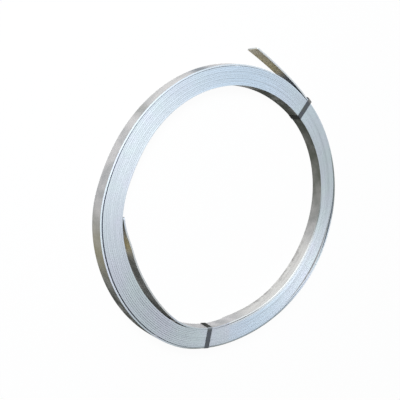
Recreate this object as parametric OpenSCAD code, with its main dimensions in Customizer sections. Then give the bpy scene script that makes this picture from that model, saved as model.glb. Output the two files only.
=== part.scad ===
// Coil of hot-dip galvanised flat steel strip, lying on its end and tied with two steel straps.
// Angles run counter-clockwise from +X, seen from above, and a turn's radius grows that way too.

/* [Strip] */
// Width of the strip, which is the height of the coil as it lies
strip_w = 30; // [20:1:50]
// Thickness of the strip
strip_t = 3.5; // [2.5:0.1:5]
// Bevel of the strip's edges, which shows as the groove between two turns
edge_bevel = 0.8; // [0.3:0.1:1.1]

/* [Winding] */
// Clear diameter inside the innermost turn
bore_d = 560; // [400:5:900]
// Turns that lie tight between the innermost and the outermost one
tight_turns = 11; // [4:1:20]
// Mean gap between one tight turn and the next
slack = 0.35; // [0.1:0.05:0.8]

/* [Outer end] */
// Angle at which the tail leaves the coil
tail_at = 52.7; // [50:0.1:60]
// Length of the straight tail
tail_l = 165; // [60:1:250]
// Gap under the outermost turn on its loose side
outer_gap = 4; // [1:0.1:6]
// Angle at which it has that gap
outer_gap_at = 165; // [140:1:180]

/* [Inner end] */
// Angle at which the loose inner end leaves the turns
loose_from = 248; // [240:1:252]
// Angle at which its tip comes back to them
loose_to = 175; // [165:1:190]
// Height of the loose end's arch above the turns
loose_rise = 12.5; // [6:0.5:18]
// Radius of the bend at the loose end's root
loose_bend_r = 60; // [30:5:90]
// Length by which the tip stops short of the turns
tip_trim = 8; // [6:1:20]

/* [Straps] */
// Width of a strap
strap_w = 13; // [8:0.5:20]
// Thickness of a strap
strap_t = 0.6; // [0.4:0.1:1]
// Clearance between a strap and the turns
strap_gap = 0.15; // [0.1:0.05:0.4]
// Angle of the strap next to the tail
tail_strap_at = 44.4; // [40:0.1:46]
// Angle of the strap next to the inner end
inner_end_strap_at = 258.2; // [256:0.1:264]

/* [Hidden] */

$fn = 180;

// Radii of the winding, from the bore outwards
pitch = strip_t + slack;
bore_r = bore_d / 2;
pack_in_r = bore_r + strip_t - slack / 2;
pack_out_r = pack_in_r + tight_turns * pitch;
outer_turn_r = pack_out_r - slack / 2;
coil_r = outer_turn_r + strip_t;
// Height at which the coil lies on its straps
rest_z = strap_t + strap_gap;
// Angle from the middle of a strap to just past its side
strap_reach = asin(strap_w / 2 / bore_r) + 1;

// Depth by which one stretch of the strip sinks into the next, and the angle by which it laps it
weld = 0.03;
lap = 1.5;

// The outermost turn is held from the tail to just past the strap, and lifts off from there
hold_margin = 6;
hold_to = inner_end_strap_at - hold_margin;
// It lifts on an arc off the coil's centre, which has its gap at the loose side and ends one turn
// below the tail. The arc's centre solves two equations, one for each difference of directions.
lift_e = unit(outer_gap_at) - unit(hold_to);
lift_f = unit(outer_gap_at) - unit(tail_at);
lift_c = [
    outer_gap * lift_f.y - (outer_gap + pitch) * lift_e.y,
    (outer_gap + pitch) * lift_e.x - outer_gap * lift_f.x
] / (lift_e.x * lift_f.y - lift_e.y * lift_f.x);
lift_r = outer_turn_r - lift_c * unit(hold_to);
// Both ends of that arc are buried in the tight turns
bury_angle = 7;

// The innermost turn sinks into the tight turns on a wider arc, ahead of the loose tip
sink_from = loose_to - 75;
sink_lead = 20;
sink = pitch / (cos(sink_lead) - cos(loose_to - sink_from + sink_lead));
// The loose end leaves at an angle and stands as a flat arch of this radius
loose_span = bore_r * (loose_from - loose_to) * PI / 180;
loose_slope = atan(4 * loose_rise / loose_span);
arch_r = 1 / (1 / bore_r - 2 * tan(loose_slope) / loose_span);
bend_sweep = loose_slope / (1 - loose_bend_r / bore_r);
arch_sweep = (loose_span - tip_trim) / arch_r * 180 / PI - bend_sweep * loose_bend_r / arch_r;
arch_from = loose_from - bend_sweep;
bend_c = (bore_r - loose_bend_r) * unit(loose_from);
arch_c = bend_c + (loose_bend_r - arch_r) * unit(arch_from);
// Longest straight step along the loose end's curve, and the angle by which the inner turn laps its root
curve_step = 8;
root_lap = 0.8;

function unit(a) = [cos(a), sin(a)];

// Points of an arc of radius r about c from angle a0 towards a1, without the last one
function arc_points(c, r, a0, a1) =
    let (steps = ceil(abs(a1 - a0) * PI / 180 * r / curve_step))
    [for (i = [0:steps - 1]) c + r * unit(a0 + (a1 - a0) * i / steps)];

// Points along a face of the loose inner end, from its root to its tip; off counts from the inner face
function loose_face(off) = concat(
    [(bore_r + off) * unit(loose_from + lap)],
    arc_points(bend_c, loose_bend_r + off, loose_from, arch_from),
    arc_points(arch_c, arch_r + off, arch_from, arch_from - arch_sweep),
    [arch_c + (arch_r + off) * unit(arch_from - arch_sweep)]
);

function reversed(list) = [for (i = [len(list) - 1:-1:0]) list[i]];

// Sector of the plan from angle a0 to a1, reaching out past radius r
module sector(r, a0, a1) {
    steps = ceil((a1 - a0) / 30);
    polygon(concat(
        [[0, 0]],
        [for (i = [0:steps]) 2 * r * unit(a0 + (a1 - a0) * i / steps)]
    ));
}

// Plan of the strip bent to an arc whose inner face has radius r about c, from angle a0 to a1
module strip_arc(c, r, a0, a1) {
    translate(c)
        intersection() {
            difference() {
                circle(r + strip_t);
                circle(r);
            }
            sector(r, a0, a1);
        }
}

// Plan of the outermost turn, which stands off the pack on one side, and of its straight tail
module outer_turn() {
    strip_arc([0, 0], outer_turn_r, hold_to - lap, 360 + tail_at + lap);
    strip_arc(lift_c, lift_r, tail_at - bury_angle, hold_to + bury_angle);
    rotate(tail_at)
        translate([outer_turn_r - weld, -strip_t / 2])
            square([strip_t, strip_t / 2 + tail_l]);
}

// Plan of the eye, up to the innermost turn and, behind the loose end, up to the next one
module eye() {
    circle(bore_r);
    intersection() {
        translate(-sink * unit(sink_from - sink_lead)) circle(bore_r + sink * cos(sink_lead));
        circle(pack_in_r);
        sector(pack_in_r, sink_from - sink_lead, loose_from - root_lap);
    }
}

// Plan of the loose inner end, which springs off the turns into the eye
module loose_end() {
    polygon(concat(loose_face(strip_t + weld), reversed(loose_face(weld))));
}

// Plan of the whole strip: the pack of tight turns with the turns that leave it
module winding() {
    difference() {
        union() {
            circle(pack_out_r);
            outer_turn();
        }
        difference() {
            eye();
            loose_end();
        }
    }
}

// Section of the groove between two turns, cut down from height 0
module groove_section() {
    half = slack / 2 + edge_bevel;
    polygon([
        [-half - edge_bevel, edge_bevel],
        [-slack / 2, -edge_bevel],
        [slack / 2, -edge_bevel],
        [half + edge_bevel, edge_bevel]
    ]);
}

// Section of the bevel on an edge of the strip, which lies on the side of negative x
module bevel_section() {
    polygon([[-2 * edge_bevel, edge_bevel], [edge_bevel, -2 * edge_bevel], [edge_bevel, edge_bevel]]);
}

// Grooves between the turns on the upper end: right round in the pack, and at the innermost and the
// outermost turn where the straps hold these tight, together with the bevels of their free edges
module grooves() {
    for (i = [1:tight_turns - 1])
        rotate_extrude()
            translate([pack_in_r + i * pitch, strip_w])
                groove_section();
    rotate(inner_end_strap_at - strap_reach)
        rotate_extrude(angle = 360 + tail_strap_at - inner_end_strap_at + 2 * strap_reach) {
            for (r = [bore_r + strip_t, outer_turn_r])
                translate([r, strip_w]) groove_section();
            translate([bore_r, strip_w]) mirror([1, 0]) bevel_section();
            translate([coil_r, strip_w]) bevel_section();
        }
}

// The whole strip in one piece, with its turns showing on both ends
module strip_coil() {
    color("lightsteelblue")
        translate([0, 0, rest_z])
            difference() {
                linear_extrude(strip_w) winding();
                grooves();
                translate([0, 0, strip_w]) mirror([0, 0, 1]) grooves();
            }
}

// Rounded rectangle that stands the given distance off the section of all the turns
module around_turns(off) {
    r = edge_bevel + off;
    low = [bore_r + edge_bevel, edge_bevel];
    high = [coil_r - edge_bevel, strip_w - edge_bevel];
    translate([low.x - r, low.y]) square([high.x - low.x + 2 * r, high.y - low.y]);
    translate([low.x, low.y - r]) square([high.x - low.x, high.y - low.y + 2 * r]);
    for (x = [low.x, high.x], y = [low.y, high.y])
        translate([x, y]) circle(r);
}

// Steel strap closed round the section of the coil at angle a
module strap(a) {
    color("slategray")
        translate([0, 0, rest_z])
            rotate(a)
                translate([0, strap_w / 2, 0])
                    rotate([90, 0, 0])
                        linear_extrude(strap_w)
                            difference() {
                                around_turns(strap_gap + strap_t);
                                around_turns(strap_gap);
                            }
}

module tail_strap() {
    strap(tail_strap_at);
}

module inner_end_strap() {
    strap(inner_end_strap_at);
}

strip_coil();
tail_strap();
inner_end_strap();
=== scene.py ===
"""Coil of galvanised steel strip: the wound strip with its tail and loose inner end, and two steel straps.

All measures of the coil are in millimetres and degrees in its own plane: angles run counter-clockwise
from +X as seen from above, and the strip is wound outwards that way.
"""

import bpy
import numpy as np
from mathutils import Matrix, Vector


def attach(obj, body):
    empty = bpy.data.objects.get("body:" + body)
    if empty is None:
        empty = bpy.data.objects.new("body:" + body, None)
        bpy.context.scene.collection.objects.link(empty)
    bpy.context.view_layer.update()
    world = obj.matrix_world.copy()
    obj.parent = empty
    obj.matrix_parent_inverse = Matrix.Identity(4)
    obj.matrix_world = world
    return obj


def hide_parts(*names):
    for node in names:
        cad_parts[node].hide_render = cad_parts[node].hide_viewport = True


MM = 0.001

# Strip, and the depths under its edges at which its section has points of its own
STRIP_W = 30.0
STRIP_T = 3.5
EDGE_R = 0.3
GROOVE = 0.08
NECK = 4.0

# Straps, the angles across one at which the turns under it are measured, their places round the coil, and the
# heights of the lower edge and the middle of the strip that lies on them
STRAP_W = 13.0
STRAP_T = 0.6
STRAP_GAP = 0.15
STRAP_BEND = 1.6
STRAP_REACH = np.linspace(-1.6, 1.6, 5)
TAIL_STRAP_AT = 44
INNER_END_STRAP_AT = 258
REST_Z = STRAP_T + STRAP_GAP
MID_Z = REST_Z + STRIP_W / 2

# Winding: about 12.6 turns from the inner tip to the root of the tail, between two rings that are eleven turns
# apart. The turn counter is 0 at the inner tip and grows by 1 with each turn; TURN_BEFORE and LAST_TURN are
# where the looks of the last turn but one and of the last one start.
INNER_TIP_AT = 175.0
TAIL_AT = 46.5
TURNS = 13
PHI_END = TAIL_AT + 360 * TURNS
RINGS_APART = 11
TURN_BEFORE = 10.66
LAST_TURN = 11.66
COIL_STATIONS = 3700

# Tail: its length, the radius of its curve and how far its lower edge swings in at the end
TAIL_L = 197.0
TAIL_R = 1010.0
TAIL_DROP = 5.0
TAIL_STATIONS = 40


def smooth(x):
    """Smooth step: 0 up to x = 0, 1 from x = 1 on, and level at both ends."""
    x = np.clip(x, 0, 1)
    return x * x * (3 - 2 * x)


def bump(x, at, before, after):
    """Bell curve of height 1 at the given place, with its own width on either side."""
    return np.exp(-0.5 * ((x - at) / np.where(x < at, before, after)) ** 2)


def window(x, start, end, soft):
    """1 between start and end and 0 outside, with soft flanks of the given width inside them."""
    return smooth((x - start) / soft) * (1 - smooth((x - end + soft) / soft))


def swell(theta, at, before, after):
    """Bump round the coil: the angle from its middle is counted the short way round."""
    return bump(np.mod(theta - at + 180, 360) - 180, 0, before, after)


def eye_ring(theta):
    """Inner radius of the second turn: a circle off the coil's centre with three bulges and two dents."""
    r = 279.9 + 2.3 * np.cos(np.radians(theta - 34)) + 6.5 * swell(theta, 174, 13, 14)
    r = r + 6.5 * swell(theta, 246, 11, 25) + 6.4 * swell(theta, 358, 20, 32)
    return r - 4.7 * swell(theta, 162, 17, 32) - 4.3 * swell(theta, 275, 7, 18)


def rim_ring(theta):
    """The same radius eleven turns further out: a circle off the centre with two bulges and three dents."""
    r = 325.8 + 3.8 * np.cos(np.radians(theta + 5)) + 4.6 * swell(theta, 174, 9, 16)
    r = r + 3.4 * swell(theta, 245, 15, 7) - 5.0 * swell(theta, 280, 12, 21)
    return r - 2.9 * swell(theta, 342, 32, 9) - 4.2 * swell(theta, 37, 26, 45)


def inner_radius(phi):
    """Radius of the strip's inner face at the running angle phi, which is not wrapped at 360.

    Radius of the eye plus the turn counter times the pitch between the two rings, with a small wander in the
    slack of the turns. The last turn stands off the others at three places and at the tail's root, and the one
    under it at one place. The first turn springs into the eye next to its tip, and a little once more.
    """
    turn = (phi - INNER_TIP_AT) / 360
    pitch = (rim_ring(phi) - eye_ring(phi)) / RINGS_APART
    wander = 0.18 * (np.sin(phi * 0.0311 + 1.0) + np.sin(phi * 0.0173 + 4.0)) * (pitch - STRIP_T)
    r = eye_ring(phi) + (turn - 1) * pitch + wander * smooth(turn - 0.3) * smooth(12.2 - turn)
    off = 2.2 * swell(phi, 185, 28, 36) + 6.0 * swell(phi, 335, 21, 18) + 0.5 * swell(phi, 92, 14, 24)
    off = off + 1.2 * smooth((phi - PHI_END + 4) / 4)
    under = 5.1 * swell(phi, 327, 11, 10)
    spring = 12.9 * smooth((phi - 172) / 20) * (1 - smooth((phi - 206) / 46)) + 1.3 * bump(phi, 279, 14, 8)
    return r + np.where(phi > PHI_END - 360, off, np.where(phi > PHI_END - 720, under, 0)) - spring


def eye_lean(theta):
    """How far the innermost turn's lower edge stands further in than the upper: a bump next to each strap."""
    return 4.1 * bump(theta, 60, 14, 21) + 1.6 * bump(theta, 266, 10, 14)


def strip_path():
    """The strip's inner face from the inner tip to the end of the tail, as a set of arrays over its stations.

    points and normal lie in the plane of the coil, length runs along the strip, phi is the running angle and
    turn the turn counter. lean is how far the lower edge stands further out than the upper one: the last
    turn leans out over one stretch and the turn under it follows, the first one leans in next to the straps,
    and the loose end leans out into its gap. fill is the gap to the next turn where that is narrow, less
    where turns part and none in the slit after the loose end. The tail is an arc that starts with a small
    kick outwards. tail is 0 on the coil and grows to 1 at the end of the tail.
    """
    phi = np.linspace(INNER_TIP_AT, PHI_END, COIL_STATIONS)
    theta = np.mod(phi, 360)
    r = inner_radius(phi)
    a = np.radians(phi)
    coil = np.stack([r * np.cos(a), r * np.sin(a)], 1)
    out = np.radians(TAIL_AT)
    inward = -np.array([np.cos(out), np.sin(out)])
    along = np.array([inward[1], -inward[0]])
    step = np.linspace(0, TAIL_L, TAIL_STATIONS + 1)[1:]
    bend = step[:, None] / TAIL_R
    kick = 1.1 * smooth(step / 24) * (1 - smooth((step - 45) / 105))
    arc = TAIL_R * (np.sin(bend) * along + (1 - np.cos(bend)) * inward)
    points = np.concatenate([coil, coil[-1] + arc - kick[:, None] * inward])
    tangent = np.gradient(points, axis=0)
    tangent /= np.linalg.norm(tangent, axis=1)[:, None]
    leaning = 3.4 * bump(theta, 200, 34, 22)
    gap = inner_radius(phi + 360) - r - STRIP_T
    follow = np.clip(gap + leaning - 0.3, 0, 3.0 * bump(theta, 230, 10, 14))
    lean = np.where(phi > PHI_END - 360, leaning, np.where(phi > PHI_END - 720, follow, 0))
    lean = lean - np.where(phi < 360 + INNER_TIP_AT, eye_lean(theta), 0)
    loose, slit = phi < 270, (phi > 262) & (phi < 352)
    lean = lean + np.where(loose, np.clip(gap - 0.25, 0, 7.2 * bump(theta, 225, 18, 60)), 0)
    fill = np.where(phi < PHI_END - 720, gap * (1 - smooth((gap - 1.2) / 0.6)) - 0.05, 0)
    parted = np.where(phi < PHI_END - 1080, 0.45 * bump(theta, 226, 28, 20), 0)
    fill = fill * (1 - parted) * np.where(slit, 0, 1)
    running = np.concatenate([phi, PHI_END + 0 * step])
    return {
        "points": points,
        "normal": np.stack([tangent[:, 1], -tangent[:, 0]], 1),
        "length": np.concatenate([[0], np.cumsum(np.linalg.norm(np.diff(points, axis=0), axis=1))]),
        "phi": running,
        "turn": (running - INNER_TIP_AT) / 360,
        "lean": np.concatenate([lean, -TAIL_DROP * step / TAIL_L]),
        "fill": np.concatenate([np.maximum(fill, 0), 0 * step]),
        "tail": np.concatenate([0 * phi, step / TAIL_L]),
    }


def strip_section():
    """Rounded rectangle of the strip as (thickness, width) points, with points on the long sides next to each
    corner that keep these flat. Also tells which points belong to an edge, and which ones reach out to the
    next turn to close a narrow gap."""
    q = np.radians([0, 45, 90])
    t, w, r = STRIP_T, STRIP_W / 2, EDGE_R
    ledge, hold, neck = w - r - GROOVE, w - r - 3 * GROOVE, w - NECK

    def corner(cx, cy, start):
        return np.stack([cx + r * np.cos(q + start), cy + r * np.sin(q + start)], 1)

    section = np.concatenate([
        corner(t - r, w - r, 0), corner(r, w - r, np.pi / 2),
        [(0, hold), (0, neck), (0, -neck), (0, -hold)],
        corner(r, r - w, np.pi), corner(t - r, r - w, 1.5 * np.pi),
        [(t, -ledge), (t, -hold), (t, hold), (t, ledge)],
    ])
    outer = section[:, 0] > t / 2
    low = np.abs(section[:, 1])
    return section, np.where(outer, low > hold, low > w - r / 2).astype(float), outer & (low <= ledge)


def add_mesh(name, verts, faces, uv=None, attributes=None):
    """New mesh object at the origin from whole arrays; uv has one pair for each face corner."""
    mesh = bpy.data.meshes.new(name)
    mesh.from_pydata(verts.tolist(), [], faces)
    if uv is not None:
        mesh.uv_layers.new(name="UVMap").data.foreach_set("uv", np.asarray(uv, np.float32).ravel())
    for key, values in (attributes or {}).items():
        mesh.attributes.new(key, "FLOAT", "POINT").data.foreach_set("value", np.asarray(values, np.float32))
    mesh.polygons.foreach_set("use_smooth", np.ones(len(mesh.polygons), bool))
    mesh.update()
    obj = bpy.data.objects.new(name, mesh)
    bpy.context.scene.collection.objects.link(obj)
    return obj


def tube_faces(rings, points, closed):
    """Quads between neighbouring rings of points; a closed tube joins the last ring to the first."""
    i = np.arange(rings if closed else rings - 1)[:, None]
    k = np.arange(points)[None, :]
    j, l = (i + 1) % rings, (k + 1) % points
    return np.stack([i * points + k, j * points + k, j * points + l, i * points + l], 2).reshape(-1, 4)


def strip_painted_light_and_marks(path, side, edge, depth):
    """Painted light and a few marks on the strip, as four values from 0 to 1 at each vertex: sums of bumps and
    windows by angle.

    side is 0 on the inner face and 1 on the outer one, edge is 1 on the strip's edges, and depth is the
    distance below the upper edge. half is the angle counted from -90 to 270.
    Ochre: painted warm reflection of the ground on the inner side of the tail, a stretch of the outermost turn
    and a patch of the loose end.
    Dark: painted shade on the wall of the eye on one side, the root of the tail, the inner face of the
    outermost turn deeper in its gap, the outer side of the loose end, the outer wall, parts of the rim and the
    faces along a slit. It also darkens two short stretches of edge and two narrow spots of the outer wall.
    Pale: painted light on the wall of the eye on the other side, a patch of the outer wall, a face in the
    outermost gap and the tail along its upper edge. Also painted highlights on the edges of the tail, its
    root, the inner tip and the innermost turns.
    Cool: painted bluish reflection on the edges at two places, painted bluish shade on the faces in the
    outermost gap and the root of the tail, and a bluish spot of the outer wall.
    """
    theta, turn, tail = (path[key][:, None] for key in ("phi", "turn", "tail"))
    theta = np.mod(theta, 360)
    half = np.mod(theta + 90, 360) - 90
    inner, outer = ((1 - side) * (1 - edge))[None, :], (side * (1 - edge))[None, :]
    free = smooth((tail - 0.38) / 0.2)
    last = (turn > LAST_TURN) * (tail == 0)
    before = (turn > TURN_BEFORE) * (turn <= LAST_TURN)
    loose = outer * (turn < 0.25)
    patch = bump(theta, 188.5, 3.5, 3)

    # Ochre: painted warm reflection of the ground on faces turned down towards it
    ochre = inner * free * (0.85 + 0.15 * smooth((0.6 - tail) / 0.3) - 0.35 * smooth((tail - 0.75) / 0.25))
    ochre = ochre * (0.35 + 0.65 * smooth((depth - 0.3) / 3.5))
    ochre = ochre + outer * last * 0.35 * bump(theta, 188, 7, 7) + loose * patch

    # Dark: painted shade on walls, faces and rim turned from the light, plus two darker edge stretches and two
    # narrow spots
    eye_wall = window(half, -34, 114, 44) * (1 - 0.13 * bump(half, 62, 16, 30))
    dark = 0.8 * inner * (turn < 1.0) * (turn > 0.2) * eye_wall
    dark = dark + 0.45 * inner * (turn > 12.5) * (1 - free)
    dark = dark + inner * last * window(half, -28, 12, 16) * (0.05 + 0.45 * smooth((depth - 0.3) / 2))
    dark = dark + loose * 0.68 * (1 - 0.6 * patch) * (1 - smooth((theta - 236) / 10))
    wall = 0.66 * window(theta, 164, 270, 44) + 0.2 * bump(theta, 184, 9, 9) + 0.3 * bump(theta, 132, 1.5, 2)
    wall = wall + 0.5 * bump(theta, 103.5, 2.2, 2.2) + 0.15 * bump(theta, 222, 8, 12)
    dark = dark + outer * last * wall
    rim = window(theta, 238, 314, 16) * (0.35 + 0.65 * side)
    rim = rim + 0.95 * window(half, -18, 22, 12) * (0.6 + 0.4 * side)
    dark = dark + last * rim * (side > 0.05) + 0.7 * (turn < 0.012) * (1 - edge)
    dark = dark + 0.55 * edge * before * bump(half, -17, 5, 7)
    slit = inner * (turn > 1) * (turn < 2) + outer * (turn < 1)
    dark = dark + 0.3 * slit * bump(theta, 278, 16, 9) + 0.8 * edge * (turn < 0.6) * bump(half, -12, 7, 7)

    # Pale: painted light on lit faces and painted highlights on edges
    pale = 0.35 * outer * last * bump(theta, 122, 10, 12)
    pale = pale + inner * (turn < 1.2) * window(half, -92, -14, 22)
    pale = pale + inner * before * bump(half, -42, 14, 12)
    pale = pale + 0.7 * inner * free * (1 - smooth((depth - 0.3) / 3.6))
    pale = pale + edge * ((turn < 0.55) + 0.5 * (turn < 1.55) * (turn > 1)) * window(half, -106, -8, 20)
    tip = (turn < 0.16) * smooth((theta - 178) / 6)
    pale = pale + edge * (tip + 0.6 * (tail > 0) + 0.5 * last * bump(theta, 86, 16, 16))

    # Cool: painted bluish reflection on two stretches of edge, painted bluish shade on faces in the outermost
    # gap and under the tail's root
    cool = edge * (tail == 0) * (bump(half, 82, 24, 24) + 0.8 * bump(half, -76, 14, 16))
    cool = cool + inner * last + inner * (tail > 0) * (1 - free) + outer * before
    cool = cool + 0.3 * inner * before * bump(half, -38, 14, 12)
    cool = cool + outer * last * bump(theta, 103.5, 2.6, 2.4)
    vertex_maps = {"ochre": ochre, "dark": dark, "pale": pale, "cool": cool}
    return {key: np.clip(film, 0, 1).ravel() for key, film in vertex_maps.items()}


def edge_sheen_and_tone(path):
    """Lightness of the strip's edges, where 1 is plain zinc: a painted sheen round the ring with three darker
    stretches and a paler one, painted highlights on stretches of the outermost and innermost turns, three
    duller turns and a dull loose end."""
    theta, turn = np.mod(path["phi"], 360), path["turn"]
    half = np.mod(theta + 90, 360) - 90
    tone = 1.065 - 0.19 * bump(half, 12, 30, 22) - 0.17 * bump(theta, 226, 26, 30)
    tone = tone - 0.13 * bump(theta, 140, 16, 16) + 0.08 * bump(half, -45, 22, 18)
    tone = tone + 0.22 * (turn > LAST_TURN) * window(theta, 92, 226, 30)
    tone = tone + 0.14 * (turn < 0.55) * window(half, -106, -8, 20)
    tone = tone + 0.05 * bump(half, -40, 14, 14) * (turn < TURN_BEFORE)
    tone = tone + 0.12 * (turn > LAST_TURN) * bump(half, -21, 9, 8)
    tone = tone + 0.07 * (turn < 3.7) * bump(half, -55, 16, 24) - 0.15 * bump(turn, 4.39, 0.07, 0.06)
    tone = tone - 0.08 * bump(turn, 6.54, 0.05, 0.05) - 0.12 * bump(turn, 7.56, 0.07, 0.07)
    return tone - 0.1 * (turn < 0.2) * (1 - smooth((theta - 230) / 14))


def build_strip():
    """The strip: its section carried along the winding, the tail included, and closed at both ends.

    The turns stand a little higher or lower by two sines of the turn counter, except at the straps.
    """
    path = strip_path()
    section, edge, reach = strip_section()
    n, m = len(path["phi"]), len(section)
    u, w = section[:, 0][None, :], section[:, 1][None, :]
    side = u[0] / STRIP_T
    turn = path["turn"]
    lift = 0.12 * (np.sin(turn * 2.9 + 0.4) + np.sin(turn * 7.7 + 2.0)) * smooth(turn) * smooth(12.6 - turn)
    tied = swell(path["phi"], TAIL_STRAP_AT, 5, 5) + swell(path["phi"], INNER_END_STRAP_AT, 5, 5)
    lift = lift * (1 - tied)
    out = u + path["lean"][:, None] * (0.5 - w / STRIP_W) + path["fill"][:, None] * reach[None, :]
    verts = np.empty((n, m, 3))
    verts[:, :, :2] = path["points"][:, None, :] + out[:, :, None] * path["normal"][:, None, :]
    verts[:, :, 2] = MID_Z + w + lift[:, None]
    faces = tube_faces(n, m, False)
    around = np.cumsum(np.linalg.norm(np.diff(section, axis=0, append=section[:1]), axis=1))
    around = np.concatenate([[0], around])
    i, k = np.divmod(np.arange(len(faces)), m)
    length = path["length"]
    uv = np.stack([
        np.stack([length[i], length[i + 1], length[i + 1], length[i]], 1),
        np.stack([around[k], around[k], around[k + 1], around[k + 1]], 1),
    ], 2).reshape(-1, 2) * MM
    caps = [list(range(m)), list(range((n - 1) * m, n * m))[::-1]]
    uv = np.concatenate([uv, np.repeat([[0, 0], [length[-1] * MM, 0]], m, axis=0)])
    vertex_maps = strip_painted_light_and_marks(path, side, edge, STRIP_W / 2 - w[0])
    vertex_maps["edge"] = np.tile(edge, n)
    vertex_maps["tone"] = np.repeat(edge_sheen_and_tone(path), m)
    return add_mesh("coiled_strip", verts.reshape(-1, 3) * MM, faces.tolist() + caps, uv, vertex_maps)


def build_strap(name, at_bore, at_rim, lump, glint_strength):
    """A strap: a thin flat section carried round the coil's own section, in a closed loop with round bends.

    The loop is a rounded rectangle in the plane of the coil's axis; its angle turns from at_bore to at_rim.
    The run in the eye leans with the innermost turn, and the run on the rim stands off by a lump. The last
    argument is how bright the painted highlight on the bend over the eye is.
    """
    mid = (at_bore + at_rim) / 2
    turns = (mid + STRAP_REACH[:, None] + 360 * np.arange(TURNS + 1)).ravel()
    turns = turns[(turns > INNER_TIP_AT) & (turns < PHI_END)]
    radii = inner_radius(turns)
    off = STRAP_GAP + STRAP_T / 2
    r0, r1 = radii.min() - off, radii.max() + STRIP_T + off
    z0, z1 = REST_Z - off, REST_Z + STRIP_W + off
    arc = np.radians(np.linspace(0, 90, 6))

    def corner(x, z, start):
        return np.stack([x + STRAP_BEND * np.cos(arc + start), z + STRAP_BEND * np.sin(arc + start)], 1)

    def run(a, b):
        return a + (b - a) * np.linspace(0, 1, 12)[1:-1, None]

    left, right, low, high = r0 + STRAP_BEND, r1 - STRAP_BEND, z0 + STRAP_BEND, z1 - STRAP_BEND
    bends = [corner(right, high, 0), corner(left, high, np.pi / 2),
             corner(left, low, np.pi), corner(right, low, 1.5 * np.pi)]
    runs = [run(bends[k][-1], bends[(k + 1) % 4][0]) for k in range(4)]
    path = np.concatenate([part for pair in zip(bends, runs) for part in pair])
    tilt = eye_lean(mid + STRAP_REACH).max() * (0.5 - (path[:, 1] - MID_Z) / STRIP_W)
    path[:, 0] -= tilt * np.clip((r1 - path[:, 0]) / (r1 - r0), 0, 1)
    path[:, 0] += lump * smooth((path[:, 0] - r1 + 4) / 4) * bump(path[:, 1], MID_Z + 6, 14, 8)
    step = np.roll(path, -1, 0) - np.roll(path, 1, 0)
    step /= np.linalg.norm(step, axis=1)[:, None]
    normal = np.stack([step[:, 1], -step[:, 0]], 1)
    t, w, cut, inset = STRAP_T / 2, STRAP_W / 2, 0.25, 1
    section = np.array([
        (t - cut, -w), (cut - t, -w), (-t, cut - w), (-t, inset - w), (-t, w - inset), (-t, w - cut),
        (cut - t, w), (t - cut, w), (t, w - cut), (t, w - inset), (t, inset - w), (t, cut - w)])
    rz = path[:, None, :] + section[None, :, 0, None] * normal[:, None, :]
    across = np.clip((path[:, 0] - r0) / (r1 - r0), 0, 1)
    angle = np.radians(at_bore + (at_rim - at_bore) * across)[:, None]
    x = rz[:, :, 0] * np.cos(angle) - section[None, :, 1] * np.sin(angle)
    y = rz[:, :, 0] * np.sin(angle) + section[None, :, 1] * np.cos(angle)
    verts = np.stack([x, y, rz[:, :, 1]], 2).reshape(-1, 3)
    faces = tube_faces(len(path), len(section), True)
    # painted shade on the run in the eye, a painted highlight on the fold at the rim and another on the bend
    # over the eye
    tones = {
        "eye": 1 - smooth((path[:, 0] - r0) / 1.2),
        "fold": smooth((path[:, 0] - r1 + 2.5) / 2.5) * (lump > 0),
        "painted_glint": glint_strength * np.exp(-((path[:, 0] - r0 - 0.4) ** 2 + (path[:, 1] - z1 + 0.4) ** 2) / 1.4 ** 2),
    }
    tones = {key: np.repeat(tone, len(section)) for key, tone in tones.items()}
    return add_mesh(name, verts * MM, faces.tolist(), None, tones)


class Nodes:
    """Short way to add shader nodes and link them."""

    def __init__(self, tree):
        self.tree = tree
        tree.nodes.clear()

    def add(self, kind, inputs=None, **settings):
        node = self.tree.nodes.new(kind)
        for key, value in settings.items():
            setattr(node, key, value)
        for key, value in (inputs or {}).items():
            if isinstance(value, bpy.types.NodeSocket):
                self.tree.links.new(value, node.inputs[key])
            else:
                node.inputs[key].default_value = value
        return node

    def math(self, operation, a, b):
        return self.add("ShaderNodeMath", {0: a, 1: b}, operation=operation).outputs[0]

    def noise(self, vector, scale, detail, roughness):
        inputs = {"Vector": vector, "Scale": scale, "Detail": detail, "Roughness": roughness}
        return self.add("ShaderNodeTexNoise", inputs).outputs["Fac"]

    def span(self, value, low, high, to_low=0.0, to_high=1.0):
        """Map a value from one range to another, held at both ends."""
        return self.add("ShaderNodeMapRange", {0: value, 1: low, 2: high, 3: to_low, 4: to_high}).outputs[0]

    def mix(self, fac, a, b):
        return self.add("ShaderNodeMix", {0: fac, 6: a, 7: b}, data_type="RGBA").outputs[2]

    def scaled(self, vector, scale):
        return self.add("ShaderNodeMapping", {"Vector": vector, "Scale": scale}).outputs["Vector"]

    def attributes(self, *names):
        return [self.add("ShaderNodeAttribute", attribute_name=name).outputs["Fac"] for name in names]


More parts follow.
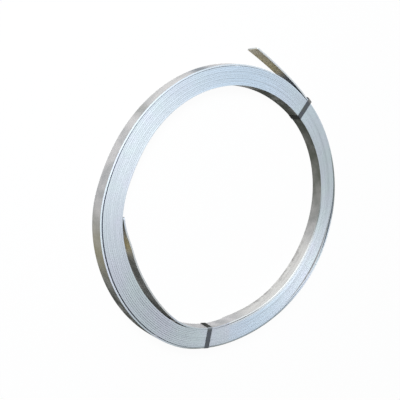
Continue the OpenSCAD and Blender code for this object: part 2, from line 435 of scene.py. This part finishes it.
def zinc_material():
    """Hot-dip galvanised strip: pale zinc with soft spangle on its faces, drawn-out streaks on its edges, and
    the painted shade, painted light and painted reflections that the strip's attributes carry."""
    mat = bpy.data.materials.new("galvanised_steel")
    mat.use_nodes = True
    n = Nodes(mat.node_tree)
    coord = n.add("ShaderNodeTexCoord")
    uv, place = coord.outputs["UV"], coord.outputs["Object"]
    edge, ochre, dark, pale, cool, tone = n.attributes("edge", "ochre", "dark", "pale", "cool", "tone")
    streak = n.noise(n.scaled(uv, (14.0, 500.0, 1.0)), 1.0, 2.0, 0.5)
    band = n.noise(n.scaled(uv, (6.0, 120.0, 1.0)), 1.0, 2.0, 0.5)
    tint = n.noise(place, 13.0, 2.0, 0.5)
    patch = n.noise(place, 26.0, 3.0, 0.6)
    spangle = n.noise(place, 130.0, 2.0, 0.5)
    face = n.mix(n.span(patch, 0.38, 0.62), (0.67, 0.65, 0.65, 1), (0.47, 0.47, 0.475, 1))
    face = n.mix(n.span(spangle, 0.5, 0.75, 0.0, 0.35), face, (0.42, 0.43, 0.45, 1))
    # painted light: pale lightens the faces where they stand in the light
    face = n.mix(pale, face, (0.80, 0.785, 0.755, 1))
    speck = n.noise(n.scaled(uv, (10.0, 150.0, 1.0)), 1.0, 3.0, 0.6)
    # darker specks inside the pale areas
    spots = n.math("MULTIPLY", pale, n.span(speck, 0.5, 0.68, 0.0, 0.5))
    face = n.mix(spots, face, (0.44, 0.41, 0.41, 1))
    # darker clouds in the pale areas towards the lower edge
    low = n.span(n.add("ShaderNodeSeparateXYZ", {0: place}).outputs["Z"], 0.001, 0.018, 1.0, 0.0)
    cloud = n.span(n.noise(place, 80.0, 3.0, 0.6), 0.4, 0.64)
    low_clouds = n.math("MULTIPLY", n.math("MULTIPLY", pale, low), cloud)
    face = n.mix(low_clouds, face, (0.34, 0.33, 0.325, 1))
    # painted bluish shade on the faces
    face = n.mix(cool, face, (0.24, 0.28, 0.36, 1))
    end = n.mix(n.span(tint, 0.36, 0.64), (0.625, 0.71, 0.73, 1), (0.655, 0.685, 0.765, 1))
    # painted bluish reflection on the edges
    end = n.mix(cool, end, (0.585, 0.70, 0.815, 1))
    # painted highlights: pale lightens the edges
    end = n.mix(pale, end, (0.775, 0.785, 0.77, 1))
    line = (0.47, 0.53, 0.58, 1)
    end = n.mix(n.span(streak, 0.35, 0.65, 0.12, 0.0), end, line)
    end = n.mix(n.span(band, 0.36, 0.64, 0.34, 0.0), end, line)
    # tone scales the edges' colour by the painted sheen and highlights
    end = n.add("ShaderNodeVectorMath", {0: end, "Scale": tone}, operation="SCALE").outputs[0]
    colour = n.mix(edge, face, end)
    # painted shade: the dark attribute turns the colour a patchy dark olive
    painted_shade = n.math("MULTIPLY", dark, n.span(patch, 0.3, 0.6, 0.75, 1.0))
    colour = n.mix(painted_shade, colour, (0.145, 0.158, 0.118, 1))
    # painted warm reflection of the ground: the ochre attribute turns the colour yellow-brown
    painted_warm_reflection = n.math("MULTIPLY", ochre, n.span(patch, 0.3, 0.65, 0.7, 1.0))
    colour = n.mix(painted_warm_reflection, colour, (0.84, 0.73, 0.42, 1))
    # less metal and specular where shade or the warm reflection of the ground is painted
    unpainted_zinc = n.math("SUBTRACT", 1.0, n.math("MAXIMUM", painted_shade, ochre))
    metal = n.math("MULTIPLY", unpainted_zinc, n.span(edge, 0.0, 1.0, 0.25, 0.55))
    tangent = n.add("ShaderNodeTangent", direction_type="UV_MAP", uv_map="UVMap")
    height = n.math("ADD", n.math("MULTIPLY", streak, 0.5), n.math("MULTIPLY", spangle, 0.5))
    normal = n.add("ShaderNodeBump", {"Height": height, "Strength": 0.1, "Distance": 0.0004}).outputs[0]
    shader = n.add("ShaderNodeBsdfPrincipled", {
        "Base Color": colour, "Metallic": metal, "Roughness": n.span(edge, 0.0, 1.0, 0.42, 0.66),
        "Normal": normal, "Specular IOR Level": n.span(unpainted_zinc, 0.35, 1.0, 0.0, 0.5),
        "Anisotropic": n.math("MULTIPLY", edge, 0.55), "Anisotropic Rotation": 0.25,
        "Tangent": tangent.outputs[0]})
    n.add("ShaderNodeOutputMaterial", {"Surface": shader.outputs[0]})
    return mat


def strap_material():
    """Dark blued steel strapping, a little uneven, with painted shade in the eye and painted highlights on the
    fold and the bend.
    """
    mat = bpy.data.materials.new("steel_strap")
    mat.use_nodes = True
    n = Nodes(mat.node_tree)
    coord = n.add("ShaderNodeTexCoord")
    patch = n.noise(coord.outputs["Object"], 90.0, 3.0, 0.6)
    eye, fold, painted_glint = n.attributes("eye", "fold", "painted_glint")
    colour = n.mix(n.span(patch, 0.4, 0.7), (0.070, 0.079, 0.098, 1), (0.076, 0.085, 0.077, 1))
    # painted highlight on the fold at the rim
    colour = n.mix(fold, colour, (0.20, 0.195, 0.19, 1))
    # painted shade on the run in the eye
    colour = n.mix(eye, colour, (0.016, 0.018, 0.014, 1))
    # painted highlight on the bend over the eye
    colour = n.mix(n.math("MULTIPLY", painted_glint, 0.7), colour, (0.50, 0.54, 0.57, 1))
    shader = n.add("ShaderNodeBsdfPrincipled", {
        "Base Color": colour, "Metallic": 0.1, "Roughness": n.span(patch, 0.3, 0.7, 0.35, 0.5),
        "Specular IOR Level": n.span(eye, 0.0, 1.0, 0.4, 0.05)})
    n.add("ShaderNodeOutputMaterial", {"Surface": shader.outputs[0]})
    return mat


def shown_plain(n):
    """1 for rays that show the background itself: camera, mirror and glass rays."""
    path = n.add("ShaderNodeLightPath")
    shown = n.math("MAXIMUM", path.outputs["Is Camera Ray"], path.outputs["Is Glossy Ray"])
    return n.math("MAXIMUM", shown, path.outputs["Is Transmission Ray"])


def build_stage():
    """Pale floor, sky with a brighter and a darker side, and a soft lamp."""
    size = 6.0
    corners = np.array([(-1, -1, 0), (1, -1, 0), (1, 1, 0), (-1, 1, 0)]) * size
    floor = add_mesh("floor", corners, [[0, 1, 2, 3]])
    mat = bpy.data.materials.new("floor")
    mat.use_nodes = True
    n = Nodes(mat.node_tree)
    shown = shown_plain(n)
    paint = n.mix(shown, (0.16, 0.155, 0.13, 1), (0.95, 0.95, 0.95, 1))
    matt = n.add("ShaderNodeBsdfDiffuse", {"Color": paint})
    white = n.add("ShaderNodeEmission", {"Color": (1, 1, 1, 1), "Strength": 1.0})
    fac = n.math("MULTIPLY", shown, 0.96)
    both = n.add("ShaderNodeMixShader", {0: fac, 1: matt.outputs[0], 2: white.outputs[0]})
    n.add("ShaderNodeOutputMaterial", {"Surface": both.outputs[0]})
    floor.data.materials.append(mat)

    world = bpy.data.worlds.new("world")
    bpy.context.scene.world = world
    world.use_nodes = True
    n = Nodes(world.node_tree)
    direction = n.add("ShaderNodeTexCoord").outputs["Generated"]
    split = n.add("ShaderNodeSeparateXYZ", {0: direction})
    height = n.math("ADD", split.outputs["Y"], n.math("MULTIPLY", split.outputs["Z"], 0.6))
    sky = n.mix(n.span(height, -0.4, 0.9), (0.07, 0.07, 0.055, 1), (0.42, 0.47, 0.54, 1))
    colour = n.mix(shown_plain(n), sky, (1, 1, 1, 1))
    light = n.add("ShaderNodeBackground", {"Color": colour, "Strength": 1.0})
    n.add("ShaderNodeOutputWorld", {"Surface": light.outputs[0]})

    add_lamp("key", (-1.2, 1.75, 2.1), 75.0, 1.2)


def add_lamp(name, place, power, size):
    """Square soft lamp that looks at the coil."""
    lamp = bpy.data.lights.new(name, "AREA")
    lamp.energy = power
    lamp.size = size
    obj = bpy.data.objects.new(name, lamp)
    obj.location = place
    obj.rotation_euler = (Vector((0, 0, 0)) - Vector(place)).to_track_quat("-Z", "Y").to_euler()
    bpy.context.scene.collection.objects.link(obj)


def build_camera():
    """Camera at the photograph's place: its direction from the coil's middle, distance, shift and lens.

    Distance and shift are in outer radii of the coil, and the focal length is in pixels of the picture.
    """
    outer_radius, picture, focal, sensor = 330 * MM, 400, 719.1, 36.0
    distance, shift_right, shift_up = 5.0, -0.1837, 0.0585
    azimuth, elevation = np.radians(35.43), np.radians(13.51)
    level = np.cos(elevation)
    back = Vector((-np.sin(azimuth) * level, np.sin(elevation), np.cos(azimuth) * level))
    right = Vector((0, 1, 0)).cross(back).normalized()
    up = back.cross(right)
    offset = distance * back + shift_right * right + shift_up * up
    place = Vector((0, 0, MID_Z * MM)) + offset * outer_radius
    data = bpy.data.cameras.new("camera")
    data.sensor_width = sensor
    data.lens = sensor * focal / picture
    camera = bpy.data.objects.new("camera", data)
    turn = Matrix((right, up, back)).transposed().to_4x4()
    camera.matrix_world = Matrix.Translation(place) @ turn
    bpy.context.scene.collection.objects.link(camera)
    bpy.context.scene.camera = camera


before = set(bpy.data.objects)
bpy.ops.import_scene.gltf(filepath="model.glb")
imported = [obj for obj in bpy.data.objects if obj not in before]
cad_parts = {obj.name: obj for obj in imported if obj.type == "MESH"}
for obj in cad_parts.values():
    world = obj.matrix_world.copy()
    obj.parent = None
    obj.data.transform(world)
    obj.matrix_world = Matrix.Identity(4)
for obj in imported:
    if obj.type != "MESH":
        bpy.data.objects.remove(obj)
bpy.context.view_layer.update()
bpy.context.scene.view_settings.view_transform = "Standard"

strip = build_strip()
strip.data.materials.append(zinc_material())
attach(strip, "root")
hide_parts("strip_coil")

strap_steel = strap_material()
for node, at_bore, at_rim, lump, glint_strength in (("tail_strap", 43.9, 44.6, 6.2, 0.0),
                                           ("inner_end_strap", 258.5, 258.3, 0.0, 1.0)):
    strap = build_strap(node + "_band", at_bore, at_rim, lump, glint_strength)
    strap.data.materials.append(strap_steel)
    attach(strap, "root")
    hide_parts(node)

build_stage()
build_camera()
